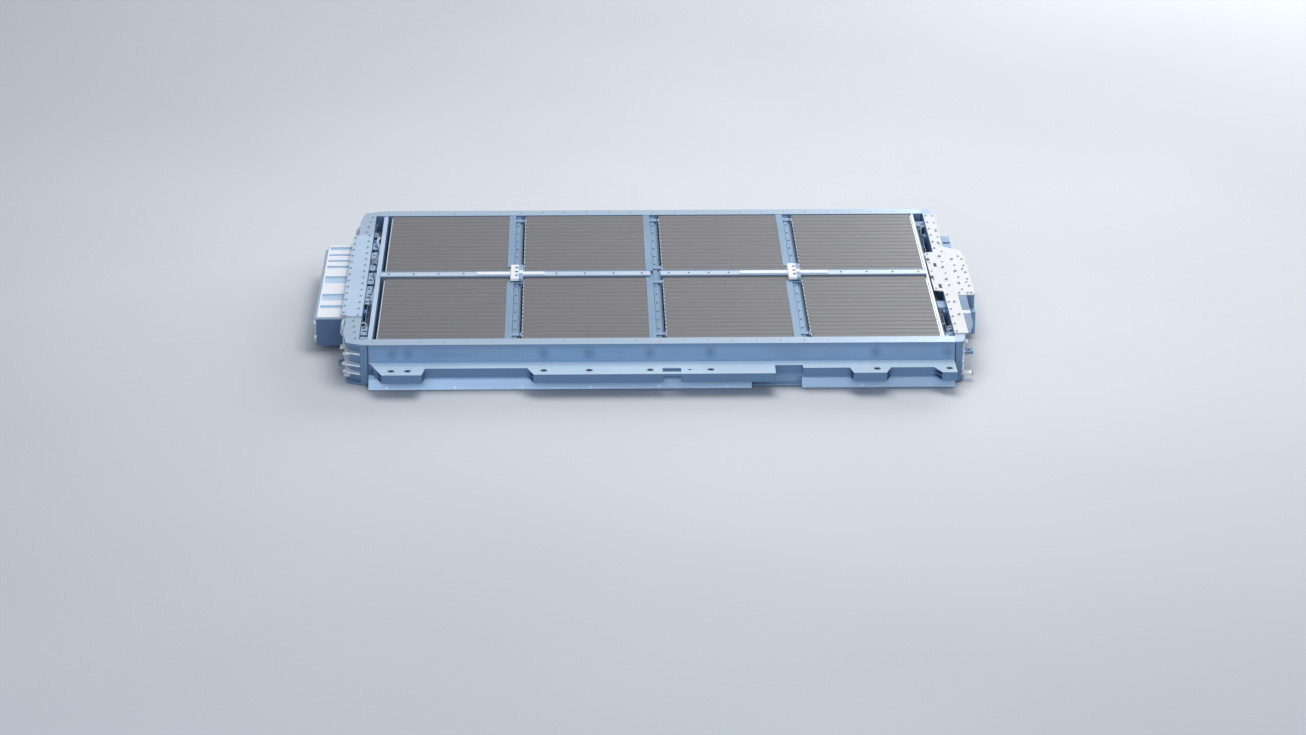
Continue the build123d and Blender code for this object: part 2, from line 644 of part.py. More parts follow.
# === Centre mounts: a bracket and a sleeve through the whole tray at two crossings ==============
for number, hub_x, arm in ((1, CROSS_BEAMS_X[0], CENTRE_ARMS[0]), (2, CROSS_BEAMS_X[-1], CENTRE_ARMS[1])):
    with BuildPart() as centre_bracket:
        # Hub on the cross beam, and arms that lie on the hold-down straps.
        block(
            (hub_x - CROSS_BEAM_WIDTH / 2, -CENTRE_FOOT / 2, CROSS_BEAM_TOP),
            (hub_x + CROSS_BEAM_WIDTH / 2, CENTRE_FOOT / 2, STRAP_TOP),
        )
        with BuildSketch(Plane.XY.offset(STRAP_TOP)):
            with Locations(((arm[0] + arm[1]) / 2, 0)):
                Rectangle(arm[1] - arm[0], CENTRE_ARM_WIDTH)
        extrude(amount=CENTRE_ARM_THICKNESS)
        with BuildSketch(Plane.XY.offset(STRAP_TOP)):
            with Locations((hub_x, 0)):
                Rectangle(*CENTRE_HUB)
        extrude(amount=CENTRE_HUB_RISE, taper=25)
        with BuildSketch(Plane.XY.offset(CROSS_BEAM_TOP)):
            with Locations((hub_x, 0)):
                RegularPolygon(CENTRE_SLEEVE_RADIUS + SLEEVE_FIT, 6)
        extrude(amount=STRAP_TOP + CENTRE_HUB_RISE - CROSS_BEAM_TOP, mode=Mode.SUBTRACT)
    keep(centre_bracket, f"centre_bracket_{number}")

with BuildPart() as centre_sleeves:
    with BuildSketch():
        with Locations((CROSS_BEAMS_X[0], 0), (CROSS_BEAMS_X[-1], 0)):
            RegularPolygon(CENTRE_SLEEVE_RADIUS, 6)
            Circle(CENTRE_SLEEVE_BORE, mode=Mode.SUBTRACT)
    extrude(amount=STRAP_TOP + CENTRE_HUB_RISE)
keep(centre_sleeves, "centre_sleeves")

# === Service box on the tail beam =================================================================
BOX_IN = TAIL_OUT
BOX_OUT = TAIL_OUT - BOX_REACH

with BuildPart() as service_box:
    block((BOX_OUT, -BOX_HALF, BOX_BASE), (BOX_IN, BOX_HALF, BOX_TOP - BOX_LID_THICKNESS))
    fillet(service_box.edges().filter_by(Axis.Y).group_by(Axis.X)[0].sort_by(Axis.Z)[0], radius=8)
    block(
        (BOX_OUT + BOX_WALL, -BOX_HALF + BOX_WALL, BOX_BASE + BOX_WALL),
        (BOX_IN - BOX_WALL, BOX_HALF - BOX_WALL, BOX_TOP),
        mode=Mode.SUBTRACT,
    )
keep(service_box, "service_box")

with BuildPart() as service_box_lid:
    lid_base = BOX_TOP - BOX_LID_THICKNESS
    block((BOX_OUT, -BOX_HALF, lid_base), (BOX_IN, BOX_HALF, BOX_TOP + FIN_HEIGHT))
    chamfer(service_box_lid.edges().filter_by(Axis.Y).group_by(Axis.Z)[-1].sort_by(Axis.X)[0], length=3)
    for low_y, high_y in FIN_GROOVES:
        block(
            (BOX_OUT + FIN_INSET, low_y, BOX_TOP),
            (BOX_IN - FIN_INSET, high_y, BOX_TOP + FIN_HEIGHT),
            mode=Mode.SUBTRACT,
        )
keep(service_box_lid, "service_box_lid")

with BuildPart() as tail_cover:
    with BuildSketch(Plane.XY.offset(TRAY_TOP)):
        ring(
            [
                (TAIL_BEAM_X, -TAIL_COVER_HALF - 20),
                (TAIL_BEAM_X, TAIL_COVER_HALF + 20),
                (TAIL_OUT + 10, TAIL_COVER_HALF + 20),
                (TAIL_OUT - TAIL_COVER_OVERHANG, TAIL_COVER_HALF),
                (TAIL_OUT - TAIL_COVER_OVERHANG, -TAIL_COVER_HALF),
                (TAIL_OUT + 10, -TAIL_COVER_HALF - 20),
            ]
        )
    extrude(amount=COVER_THICKNESS)
keep(tail_cover, "tail_cover")

# A side plate with two long screws closes the service box towards the tail.
with BuildPart() as service_side_plate:
    block(
        (BOX_OUT - SIDE_PLATE, -BOX_HALF + SIDE_PLATE_INSET, BOX_BASE + 9.0),
        (BOX_OUT, BOX_HALF - SIDE_PLATE_INSET, BOX_TOP - 7.0),
    )
    chamfer(service_side_plate.edges().filter_by(Axis.Y).group_by(Axis.X)[0], length=3)
keep(service_side_plate, "service_side_plate")

# Switchgear on the floor of the service box.
gear_floor = BOX_BASE + BOX_WALL
gear_x = (BOX_IN + BOX_OUT) / 2

with BuildPart() as main_contactors:
    for place in range(3):
        middle_y = -BOX_HALF + CONTACTOR_START + place * CONTACTOR_PITCH
        block((gear_x - 34, middle_y - 30, gear_floor), (gear_x + 34, middle_y + 30, gear_floor + 62))
        for side in (-1, 1):
            post_y = middle_y + side * 16
            block((gear_x - 8, post_y - 7, gear_floor + 62), (gear_x + 8, post_y + 7, gear_floor + 70))
keep(main_contactors, "main_contactors")

with BuildPart() as main_fuse:
    fuse_start = BOX_HALF - FUSE_START
    block((gear_x - 22, fuse_start, gear_floor), (gear_x + 22, fuse_start + FUSE_LENGTH, gear_floor + 14))
    with BuildSketch(Plane.XZ.offset(-(fuse_start + 12))):
        with Locations((gear_x, gear_floor + 14 + 17)):
            RegularPolygon(20, 8)
    extrude(amount=-(FUSE_LENGTH - 24))
keep(main_fuse, "main_fuse")

with BuildPart() as charge_relay:
    relay_start = BOX_HALF - RELAY_START
    block((gear_x - 25, relay_start, gear_floor), (gear_x + 25, relay_start + 40, gear_floor + 45))
    block((gear_x - 25, relay_start + 52, gear_floor), (gear_x + 25, relay_start + 72, gear_floor + 30))
keep(charge_relay, "charge_relay")

with BuildPart() as control_unit:
    unit_start = BOX_HALF - UNIT_START
    block((gear_x - 40, unit_start, gear_floor), (gear_x + 40, unit_start + 95, gear_floor + 28))
    block((gear_x + 20, unit_start + 15, gear_floor + 28), (gear_x + 36, unit_start + 80, gear_floor + 42))
keep(control_unit, "control_unit")

# Pressure relief valves in the tail beam's outer face, either side of the service box.
with BuildPart() as relief_valves:
    with BuildSketch(Plane.YZ.offset(TAIL_OUT)):
        with Locations((-VALVE_Y, VALVE_Z), (VALVE_Y, VALVE_Z)):
            RegularPolygon(20, 12)
    extrude(amount=-7)
    with BuildSketch(Plane.YZ.offset(TAIL_OUT - 7)):
        with Locations((-VALVE_Y, VALVE_Z), (VALVE_Y, VALVE_Z)):
            RegularPolygon(15, 12)
    extrude(amount=-3)
keep(relief_valves, "relief_valves")


# === Cable ducts in both bays, fixed to the end plates ===========================================
def cable_duct(face_x, direction, half, name):
    """A U-shaped trough along Y, against an end plate."""
    with BuildPart() as piece:
        with BuildSketch(Plane.XZ.offset(-half)):
            width = DUCT_WIDTH
            points = [
                (0, DUCT_BASE),
                (width, DUCT_BASE),
                (width, DUCT_BASE + DUCT_HEIGHT),
                (width - DUCT_WALL, DUCT_BASE + DUCT_HEIGHT),
                (width - DUCT_WALL, DUCT_BASE + DUCT_WALL),
                (DUCT_WALL, DUCT_BASE + DUCT_WALL),
                (DUCT_WALL, DUCT_BASE + DUCT_HEIGHT),
                (0, DUCT_BASE + DUCT_HEIGHT),
            ]
            ring([(face_x + direction * x, z) for x, z in points])
        extrude(amount=2 * half)
    keep(piece, name)


cable_duct(TAIL_BAY_X, -1, SILL_IN - TAIL_DUCT_GAP, "tail_cable_duct")
cable_duct(NOSE_BAY_X, 1, SILL_IN - NOSE_DUCT_GAP, "nose_cable_duct")

# === Junction box on the nose beam, with its cover and connectors ================================
BOX_NOSE_OUT = NOSE_OUT + NOSE_BOX_REACH
NICHE_X = BOX_NOSE_OUT - NICHE_DEPTH
with BuildPart() as nose_box:
    block((NOSE_OUT, NOSE_BOX_Y[0], NOSE_BOX_BASE), (BOX_NOSE_OUT, NOSE_BOX_Y[1], TRAY_TOP))
    block(
        (NOSE_OUT, NOSE_BOX_Y[0] - NOSE_STEP, NOSE_BOX_BASE),
        (BOX_NOSE_OUT, NOSE_BOX_Y[0], NOSE_STEP_TOP),
    )
    fillet(nose_box.edges().filter_by(Axis.Z).group_by(Axis.X)[-1], radius=12)
    block(
        (NICHE_X, NICHE_Y[0], NICHE_Z[0]),
        (BOX_NOSE_OUT + 1, NICHE_Y[1], NICHE_Z[1]),
        mode=Mode.SUBTRACT,
    )
keep(nose_box, "nose_box")

with BuildPart() as nose_cover:
    with BuildSketch(Plane.XY.offset(TRAY_TOP)):
        ring(
            [
                (NOSE_BEAM_X, -END_BEAM_HALF - 90),
                (NOSE_OUT + 12, -END_BEAM_HALF - 90),
                (NOSE_OUT + 30, -END_BEAM_HALF),
                (NOSE_OUT + 34, NOSE_BOX_Y[0] - 6),
                (BOX_NOSE_OUT - 8, NOSE_BOX_Y[0] - 6),
                (BOX_NOSE_OUT, NOSE_BOX_Y[0] + 6),
                (BOX_NOSE_OUT, NOSE_BOX_Y[1] - 70),
                (BOX_NOSE_OUT - 6, NOSE_BOX_Y[1]),
                (NOSE_OUT, NOSE_BOX_Y[1] + 45),
                (NOSE_OUT, END_BEAM_HALF + 90),
                (NOSE_BEAM_X, END_BEAM_HALF + 90),
                (NOSE_BEAM_X, 195),
                (NOSE_BAY_X + 4, 185),
                (NOSE_BAY_X + 4, -185),
                (NOSE_BEAM_X, -195),
            ]
        )
    extrude(amount=COVER_THICKNESS)
keep(nose_cover, "nose_cover")


def connector(centre_y, centre_z, size, reach, blades, name):
    """A rectangular shrouded socket in the niche of the nose box, opening towards +X."""
    width, height = size
    with BuildPart() as piece:
        with BuildSketch(Plane.YZ.offset(NICHE_X)):
            with Locations((centre_y, centre_z)):
                Rectangle(width + 16, height + 8)
        extrude(amount=CONNECTOR_FLANGE)
        with BuildSketch(Plane.YZ.offset(NICHE_X + CONNECTOR_FLANGE)):
            with Locations((centre_y, centre_z)):
                Rectangle(width, height)
                Rectangle(width - 2 * SHELL_WALL, height - 2 * SHELL_WALL, mode=Mode.SUBTRACT)
        extrude(amount=reach)
        with BuildSketch(Plane.YZ.offset(NICHE_X + CONNECTOR_FLANGE)):
            with Locations((centre_y, centre_z)):
                with GridLocations(width / 2, 0, blades, 1):
                    Rectangle(4, height * 0.4)
        extrude(amount=reach * 0.7)
    keep(piece, name)


connector(105, 95, HV_CONNECTOR, HV_CONNECTOR_REACH, 2, "drive_connector")
connector(-5, 95, HV_CONNECTOR, HV_CONNECTOR_REACH, 2, "charge_connector")
connector(-122, 95, LV_CONNECTOR, LV_CONNECTOR_REACH, 2, "signal_connector")

# Signal header on the nose beam, left of the junction box.
with BuildPart() as signal_header:
    header_top = TRAY_TOP - 12.0
    block((NOSE_OUT, HEADER_Y[0], header_top - HEADER_HEIGHT), (NOSE_OUT + HEADER_REACH, HEADER_Y[1], header_top))
    middle_y = (HEADER_Y[0] + HEADER_Y[1]) / 2
    block(
        (NOSE_OUT + 8, middle_y - 8, header_top - 10),
        (NOSE_OUT + HEADER_REACH + 1, middle_y + 8, header_top + 1),
        mode=Mode.SUBTRACT,
    )
keep(signal_header, "signal_header")

# Coolant stubs on the tail beam, beside the service box.
with BuildPart() as coolant_ports:
    with BuildSketch(Plane.YZ.offset(TAIL_OUT)):
        for port_y in PORTS_Y:
            with Locations((port_y, PORT_Z)):
                Circle(PORT_RADIUS)
                RegularPolygon(PORT_BORE, 6, mode=Mode.SUBTRACT)
    extrude(amount=-PORT_LENGTH)
keep(coolant_ports, "coolant_ports")
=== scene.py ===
# %% [markdown]
# # An open traction battery, dressed for a studio photograph
#
# The CAD model gives the tray, its sills, the stacks of cells and the boxes at both ends. This
# file adds what a draughtsman leaves out: bolts, seals, wiring, and above all the finishes.
# Everything is in metres, in the same frame as the CAD: +X towards the nose, +Z up.

import math
import random

import bmesh
import bpy
from mathutils import Matrix, Vector


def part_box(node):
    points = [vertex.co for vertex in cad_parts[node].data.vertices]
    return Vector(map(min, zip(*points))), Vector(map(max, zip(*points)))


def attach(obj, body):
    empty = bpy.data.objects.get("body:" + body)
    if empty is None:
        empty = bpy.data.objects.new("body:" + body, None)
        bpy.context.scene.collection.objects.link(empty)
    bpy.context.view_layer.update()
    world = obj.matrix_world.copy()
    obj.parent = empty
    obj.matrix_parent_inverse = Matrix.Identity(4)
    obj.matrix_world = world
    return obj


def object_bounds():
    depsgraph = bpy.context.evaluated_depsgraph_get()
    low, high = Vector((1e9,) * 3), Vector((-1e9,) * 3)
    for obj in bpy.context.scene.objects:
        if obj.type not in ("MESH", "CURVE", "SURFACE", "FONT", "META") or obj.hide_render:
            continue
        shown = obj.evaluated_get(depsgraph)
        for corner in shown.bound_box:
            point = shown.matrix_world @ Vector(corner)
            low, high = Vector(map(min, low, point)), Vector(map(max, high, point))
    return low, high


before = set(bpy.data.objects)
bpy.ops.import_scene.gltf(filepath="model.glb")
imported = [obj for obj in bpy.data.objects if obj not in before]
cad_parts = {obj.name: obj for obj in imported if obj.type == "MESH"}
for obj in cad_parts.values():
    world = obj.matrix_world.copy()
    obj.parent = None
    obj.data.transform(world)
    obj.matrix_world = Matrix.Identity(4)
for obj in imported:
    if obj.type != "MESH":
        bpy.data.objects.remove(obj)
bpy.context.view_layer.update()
MM = 0.001

# %% [markdown]
# ## Shader arithmetic
#
# A material is a graph of nodes, and graphs are tedious to wire by hand. `Wire` wraps an output
# socket so that `a * b + 0.2` builds Math nodes. That keeps each finish down to a few lines.


# %% Wrap sockets in a class with operators
class Wire:
    """An output socket in a node tree, with arithmetic."""

    def __init__(self, tree, socket):
        self.tree = tree
        self.socket = socket

    def math(self, operation, other=None):
        node = self.tree.nodes.new("ShaderNodeMath")
        node.operation = operation
        for place, value in enumerate((self, other)):
            if isinstance(value, Wire):
                self.tree.links.new(value.socket, node.inputs[place])
            elif value is not None:
                node.inputs[place].default_value = value
        return Wire(self.tree, node.outputs[0])

    def __add__(self, other):
        return self.math("ADD", other)

    def __sub__(self, other):
        return self.math("SUBTRACT", other)

    def __mul__(self, other):
        return self.math("MULTIPLY", other)

    def frac(self):
        return self.math("FRACT")

    def band(self, low, high, soft=0.02):
        """1 between low and high, 0 outside, with soft edges."""
        return self.ramp(low - soft, low + soft) * self.ramp(high + soft, high - soft)

    def ramp(self, low, high, to_low=0.0, to_high=1.0):
        node = self.tree.nodes.new("ShaderNodeMapRange")
        node.inputs["From Min"].default_value = low
        node.inputs["From Max"].default_value = high
        node.inputs["To Min"].default_value = to_low
        node.inputs["To Max"].default_value = to_high
        self.tree.links.new(self.socket, node.inputs["Value"])
        return Wire(self.tree, node.outputs["Result"])

    def tint(self, first, second):
        """A colour between two colours; this wire is the share of the second."""
        node = self.tree.nodes.new("ShaderNodeMix")
        node.data_type = "RGBA"
        for value, name in ((first, "A"), (second, "B")):
            socket = next(s for s in node.inputs if s.name == name and s.type == "RGBA")
            if isinstance(value, Wire):
                self.tree.links.new(value.socket, socket)
            else:
                socket.default_value = (*value, 1.0)
        self.tree.links.new(self.socket, node.inputs["Factor"])
        out = next(s for s in node.outputs if s.type == "RGBA")
        return Wire(self.tree, out)


print("Wire joins sockets with", [n for n in dir(Wire) if not n.startswith("__")])

# %% [markdown]
# ## A material's skeleton
#
# Each finish begins with the same parts: a Principled shader, the Object coordinates (they stay
# with the piece and need no unwrapping) and an output. `Finish` makes those and offers noise.


# %% Define the base of all finishes
class Finish:
    """A procedural material with helpers for noise and bumps."""

    def __init__(self, name, metallic=0.0, roughness=0.5, coat=0.0, specular=0.5):
        self.material = bpy.data.materials.new(name)
        self.material.use_nodes = True
        self.tree = self.material.node_tree
        self.shader = self.tree.nodes["Principled BSDF"]
        self.shader.inputs["Metallic"].default_value = metallic
        self.shader.inputs["Roughness"].default_value = roughness
        self.shader.inputs["Coat Weight"].default_value = coat
        self.shader.inputs["Specular IOR Level"].default_value = specular
        self.coordinates = self.tree.nodes.new("ShaderNodeTexCoord")
        self.bump_node = None

    def axis(self, letter):
        """One Object coordinate, in metres."""
        split = self.tree.nodes.new("ShaderNodeSeparateXYZ")
        self.tree.links.new(self.coordinates.outputs["Object"], split.inputs[0])
        return Wire(self.tree, split.outputs[letter])

    def noise(self, scale, detail=3.0, stretch=(1, 1, 1)):
        mapping = self.tree.nodes.new("ShaderNodeMapping")
        mapping.inputs["Scale"].default_value = stretch
        self.tree.links.new(self.coordinates.outputs["Object"], mapping.inputs["Vector"])
        node = self.tree.nodes.new("ShaderNodeTexNoise")
        node.inputs["Scale"].default_value = scale
        node.inputs["Detail"].default_value = detail
        node.inputs["Roughness"].default_value = 0.55
        self.tree.links.new(mapping.outputs["Vector"], node.inputs["Vector"])
        return Wire(self.tree, node.outputs["Fac"])

    def feed(self, name, wire):
        self.tree.links.new(wire.socket, self.shader.inputs[name])

    def bump(self, wire, distance, strength=0.6):
        node = self.tree.nodes.new("ShaderNodeBump")
        node.inputs["Strength"].default_value = strength
        node.inputs["Distance"].default_value = distance
        self.tree.links.new(wire.socket, node.inputs["Height"])
        if self.bump_node is not None:
            self.tree.links.new(self.bump_node.outputs["Normal"], node.inputs["Normal"])
        self.tree.links.new(node.outputs["Normal"], self.shader.inputs["Normal"])
        self.bump_node = node


# %% [markdown]
# ## Metals
#
# Extruded aluminium carries fine die lines along its length, so its noise is stretched along
# one axis. Castings are blasted and look evenly grainy. Both get slow patches of roughness,
# because a surface of one roughness looks like plastic.


# %% Metal finishes
def metal(name, dark, light, roughness=0.4, metallic=0.8, lines=None, grain=0.0, mask=None):
    """lines stretches the noise along its smallest axis; mask is a function that tints the colour."""
    finish = Finish(name, metallic=metallic, roughness=roughness)
    patches = finish.noise(5.0, 4.0)
    stretch = lines or (1, 1, 1)
    fine = finish.noise(160.0, 2.0, stretch=stretch)
    share = patches * 0.6 + fine * 0.4
    colour = share.ramp(0.3, 0.7).tint(dark, light)
    finish.feed("Base Color", mask(finish, colour) if mask else colour)
    finish.feed("Roughness", (patches * 0.5 + fine * 0.5).ramp(0.3, 0.7, roughness - 0.07, roughness + 0.09))
    if lines:
        finish.bump(fine, 0.00012, 0.35)
    if grain:
        finish.bump(finish.noise(900.0, 2.0), grain, 0.5)
    return finish.material


print("metal() takes two colours, a roughness and a mask")

# %% [markdown]
# ## Painted light and shade on the metals
#
# The tray in the photograph isn't one blue. These masks paint light and shade into the colour:
# highlights on the seats, rib tops, flange tops and the lip, shade on the flange faces, the strap's
# sides, the joints, a slot and part of the nose cover, and soft reflections above the sleeves. The
# cast lid's recess floors and the top of the sill's wall are darker. Each mask picks such a place
# by its height or its place along the tray, and tints the colour there.


# %% Masks for the metals
# Middles of the sleeves in the flange along the tray, in mm.
SLEEVES_X = (-852, -800, -369, -225, -32, 160, 688, 918)


def slice_of(axis, low, high, soft=0.2):
    """1 between two places along an axis, in mm, and 0 outside."""
    return axis.ramp((low - soft) * MM, low * MM) * axis.ramp((high + soft) * MM, high * MM)


def painted_seat_highlight(finish, colour):
    """The lid seat's top face is painted paler than the walls: a painted highlight for the light from above.
    """
    # Painted highlight: the seat's top face is painted paler for the light falling on it from above.
    return slice_of(finish.axis("Z"), 137.6, 138.5).tint(colour, (0.375, 0.485, 0.605))


def casting_painted_light(finish, colour):
    """Painted highlights on the corner castings' rib tops and edges, except on the upright post against the
    sill; painted shadow in the joints.
    """
    height, along = finish.axis("Z"), finish.axis("X")
    # Painted highlights: near-white bands on the tops and front edges of the ribs.
    rib_highlights = slice_of(height, 34.5, 39.6) + slice_of(height, 61.5, 66.6) + slice_of(height, 101.5, 106.6)
    past_post = along.ramp(0.966, 0.968) + along.ramp(-0.953, -0.955)
    # Painted shadow in the gap between each casting and its sill, below the seat.
    joint_shadow = slice_of(along, 940, 944.5) + slice_of(along, -930.5, -926)
    colour = (joint_shadow * height.ramp(0.1365, 0.136)).tint(colour, (0.05, 0.09, 0.16))
    return (rib_highlights * past_post).tint(painted_seat_highlight(finish, colour), (0.92, 0.96, 1.0))


def sill_painted_light(finish, colour):
    """Painted light on the sill: highlights on the seat, the flange's top and the lip, shade on the flange's
    face and round a slot, and reflections of the sleeves.
    """
    height = finish.axis("Z")
    # The upper wall turns darker towards its top.
    colour = height.ramp(0.118, 0.137).tint(colour, (0.18, 0.29, 0.46))
    # Painted shade on the flange's face, with the painted seat highlight.
    colour = slice_of(height, 47.2, 75.4).tint(painted_seat_highlight(finish, colour), (0.145, 0.25, 0.42))
    # Painted highlight on the flange's top.
    colour = slice_of(height, 75.7, 76.4).tint(colour, (0.78, 0.92, 1.0))
    # Painted highlight on the lip, below 30 to 36 mm.
    colour = height.ramp(0.036, 0.030).tint(colour, (0.46, 0.62, 0.80))
    along = finish.axis("X")
    # Painted shadow: a dark patch on the flange's top round its slot, standing in for the shade inside it.
    slot_shadow = slice_of(along, 7, 66) * slice_of(finish.axis("Y").math("ABSOLUTE"), 720, 754)
    colour = (slot_shadow * slice_of(height, 75.7, 76.4)).tint(colour, (0.16, 0.26, 0.40))
    # Painted reflections of the sleeves: soft darker patches on the wall above each sleeve.
    sleeve_reflections = None
    for x in SLEEVES_X:
        sleeve_reflection = along.ramp((x - 26) * MM, x * MM) * along.ramp((x + 26) * MM, x * MM)
        sleeve_reflections = sleeve_reflection if sleeve_reflections is None else sleeve_reflections + sleeve_reflection
    tall = height.ramp(0.080, 0.100) * height.ramp(0.134, 0.112)
    return (sleeve_reflections * tall * 0.5).tint(colour, (0.10, 0.16, 0.27))


def strap_side_shade(finish, colour):
    """The hold-down strap is pale in the middle; its sides are painted darker blue as shade."""
    # Painted shade on the strap's sides, beyond 17 mm from its middle.
    return finish.axis("Y").math("ABSOLUTE").ramp(0.0165, 0.0175).tint(colour, (0.17, 0.26, 0.39))


def hub_side(finish, colour):
    """Each hub's side towards the nose keeps its blue; the arms and the rest are bare."""
    along, across = finish.axis("X"), finish.axis("Y").math("ABSOLUTE")
    sides = slice_of(along, -456, -438) + slice_of(along, 470, 488)
    return (sides * across.ramp(0.0135, 0.0145)).tint(colour, (0.24, 0.36, 0.51))


def cover_painted_shade(finish, colour):
    """In front of the beam, on the right, the cover is painted blue as shade for the shaded faces below it,
    with one pale pad left out.
    """
    along, across = finish.axis("X"), finish.axis("Y")
    # Painted shade: the cover beyond the beam, right of the middle, turns blue.
    flange = along.ramp(0.9895, 0.9905) * across.ramp(-0.232, -0.234)
    return (flange * (slice_of(across, -408, -380) * -1 + 1)).tint(colour, (0.12, 0.21, 0.34))


def recess_tint(finish, colour):
    """Below 116.5 to 119.5 mm, on the floors of the cast lid's recesses, the colour turns darker and bluer;
    the ribs above stay pale.
    """
    return finish.axis("Z").ramp(0.1195, 0.1165).tint(colour, (0.50, 0.66, 0.82))


print("marks above", len(SLEEVES_X), "sleeves on each side")

# %% [markdown]
# ## The metals of this tray
#
# Each finish gives a darker and a lighter colour, a roughness and how metallic it is.

# %% Make the metals
finishes = {}
finishes["extrusion"] = metal(
    "extrusion", (0.20, 0.33, 0.52), (0.29, 0.43, 0.63), 0.38, 0.45, lines=(0.02, 1, 1), mask=sill_painted_light
)
finishes["cross_extrusion"] = metal(
    "cross_extrusion", (0.16, 0.27, 0.40), (0.25, 0.38, 0.53), 0.38, 0.45, lines=(1, 0.02, 1), mask=painted_seat_highlight
)
finishes["casting"] = metal("casting", (0.17, 0.28, 0.44), (0.25, 0.38, 0.55), 0.5, 0.35, grain=0.0002)
finishes["corner_casting"] = metal(
    "corner_casting", (0.15, 0.25, 0.41), (0.23, 0.35, 0.52), 0.5, 0.35, grain=0.0002, mask=casting_painted_light
)
finishes["cover"] = metal("cover", (0.42, 0.56, 0.71), (0.53, 0.66, 0.80), 0.46, 0.3, grain=0.00008)
finishes["strap"] = metal(
    "strap", (0.50, 0.58, 0.67), (0.60, 0.68, 0.77), 0.44, 0.4, lines=(0.02, 1, 1), mask=strap_side_shade
)
finishes["hub"] = metal("hub", (0.74, 0.76, 0.79), (0.84, 0.86, 0.88), 0.5, 0.15, mask=hub_side)
finishes["bracket"] = metal("bracket", (0.74, 0.76, 0.79), (0.84, 0.86, 0.88), 0.5, 0.15, grain=0.00006)
finishes["nose_cover"] = metal(
    "nose_cover", (0.60, 0.605, 0.61), (0.70, 0.705, 0.71), 0.5, 0.1, grain=0.00006, mask=cover_painted_shade
)
finishes["phosphated"] = metal("phosphated", (0.13, 0.17, 0.22), (0.20, 0.25, 0.31), 0.5, 0.5)
finishes["ribbed_lid"] = metal(
    "ribbed_lid", (0.82, 0.84, 0.87), (0.90, 0.91, 0.93), 0.5, 0.1, grain=0.00006, mask=recess_tint
)
finishes["zinc"] = metal("zinc", (0.60, 0.62, 0.66), (0.74, 0.76, 0.79), 0.3, 0.9)
finishes["steel_grey"] = metal("steel_grey", (0.33, 0.36, 0.41), (0.46, 0.49, 0.54), 0.45, 0.3)
finishes["busbar"] = metal("busbar", (0.66, 0.68, 0.72), (0.80, 0.82, 0.85), 0.28, 0.95, lines=(1, 0.05, 1))
print("metals:", sorted(finishes))

# %% [markdown]
# ## Painted box, coating, plastic and rubber
#
# The service box is blue-grey enamel over metal. The guard plate under the tray has a rough
# coating against stones. Plastic and rubber differ mostly in how broad their highlight is.


# %% Non-metal finishes
def coated(name, dark, light, roughness, coat=0.0, grain=0.0001):
    finish = Finish(name, roughness=roughness, coat=coat)
    patches = finish.noise(7.0, 4.0)
    fine = finish.noise(700.0, 2.0)
    finish.feed("Base Color", (patches * 0.7 + fine * 0.3).ramp(0.3, 0.7).tint(dark, light))
    finish.feed("Roughness", patches.ramp(0.3, 0.7, roughness - 0.06, roughness + 0.08))
    finish.bump(fine, grain, 0.5)
    return finish.material


finishes["enamel"] = coated("enamel", (0.075, 0.145, 0.27), (0.10, 0.18, 0.32), 0.38, coat=0.3)
finishes["stone_guard"] = coated("stone_guard", (0.10, 0.115, 0.14), (0.16, 0.18, 0.21), 0.7, grain=0.0004)
finishes["pad"] = coated("pad", (0.10, 0.12, 0.15), (0.15, 0.17, 0.20), 0.75)
finishes["dark_plastic"] = coated("dark_plastic", (0.018, 0.024, 0.036), (0.035, 0.045, 0.06), 0.48)
finishes["grey_plastic"] = coated("grey_plastic", (0.16, 0.20, 0.26), (0.24, 0.29, 0.36), 0.5)
finishes["pale_plastic"] = coated("pale_plastic", (0.50, 0.57, 0.66), (0.62, 0.68, 0.76), 0.42)
finishes["blue_plastic"] = coated("blue_plastic", (0.10, 0.22, 0.42), (0.15, 0.30, 0.52), 0.42)
finishes["orange_sleeve"] = coated("orange_sleeve", (0.55, 0.19, 0.03), (0.68, 0.26, 0.05), 0.5)
finishes["slate_sleeve"] = coated("slate_sleeve", (0.07, 0.09, 0.12), (0.12, 0.15, 0.20), 0.55)
finishes["rubber"] = coated("rubber", (0.012, 0.013, 0.015), (0.03, 0.031, 0.034), 0.6)
print("all finishes:", len(finishes))

# %% [markdown]
# ## The film round each cell
#
# Every cell is wrapped in a thin grey film. From above, the wrap's overlap shows as a hair line
# along the cell, and the film pulls slightly uneven. It is painted lighter towards each cell's
# edges, painted light against the shade that falls in the gaps between cells, which keeps them
# from turning into hard stripes. Both come from the Y coordinate, divided by the pitch of the cells.


# %% Cell film
CELL_PITCH = 36.5 * MM
FIRST_CELL = 25.0 * MM

film = Finish("cell_film", roughness=0.4, specular=0.6)
across = film.axis("Y").math("ABSOLUTE") - FIRST_CELL
place = (across * (1.0 / CELL_PITCH)).frac()
overlap = place.band(0.60, 0.625, 0.006)
# Painted light towards each cell's edges, against the shade in the gaps between cells.
edge = place.ramp(0.25, 0.0) + place.ramp(0.5, 0.85)
grain = film.noise(40.0, 3.0, stretch=(0.15, 1, 1))
cloud = film.noise(3.0, 3.0)
base = (grain * 0.4 + cloud * 0.6).ramp(0.32, 0.68).tint((0.100, 0.0935, 0.097), (0.1275, 0.120, 0.123))
seamed = (overlap * 0.10).tint(base, (0.08, 0.08, 0.085))
film.feed("Base Color", (edge * 0.42).tint(seamed, (0.235, 0.225, 0.235)))
film.feed("Roughness", cloud.ramp(0.3, 0.7, 0.44, 0.52))
film.bump(grain, 0.0002, 0.2)
film.bump(overlap, 0.00005, 0.3)
finishes["film"] = film.material
print("cell pitch", CELL_PITCH)

